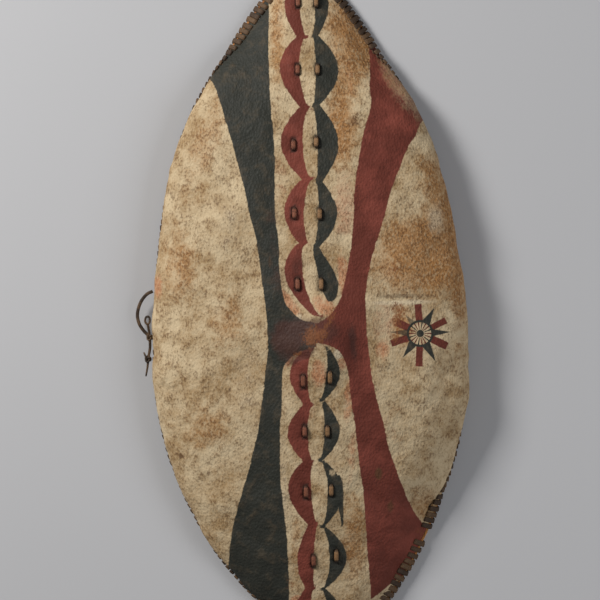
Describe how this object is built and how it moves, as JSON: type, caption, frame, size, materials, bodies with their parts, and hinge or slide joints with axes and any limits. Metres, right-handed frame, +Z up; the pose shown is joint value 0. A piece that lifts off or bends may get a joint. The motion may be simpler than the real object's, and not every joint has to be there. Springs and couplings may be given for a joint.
{
  "type": "hide shield",
  "caption": "Tall pointed-oval rawhide shield, domed, with painted bands and scallops, a laced rim over a rod, a wooden stave lashed down its back and a carrying thong.",
  "frame": {"origin": "on the ground under the middle of the bounding box, the shield lying face up on its rim", "axes": "+Z up out of the painted face, +Y to the shield's top tip, +X to the face's right, where the rosette is"},
  "size_m": [0.4806, 1.0142, 0.1117],
  "materials": {
    "hide": "dry painted rawhide, worn and stained",
    "rod": "bare peeled stick",
    "lacing": "dark dry rawhide thong",
    "stave": "hand-worn dark wood",
    "lashing": "dark dry rawhide thong",
    "thong": "stiff dry hide strip"
  },
  "bodies": {
    "root": {"hide_panel": "hide", "rim_rod": "rod", "rim_binding": "lacing", "spine_stave": "stave", "lashing_01": "lashing", "lashing_02": "lashing", "lashing_03": "lashing", "lashing_04": "lashing", "lashing_05": "lashing", "lashing_06": "lashing", "lashing_07": "lashing", "lashing_08": "lashing", "lashing_09": "lashing", "lashing_10": "lashing", "carry_thong": "thong"}
  },
  "joints": []
}
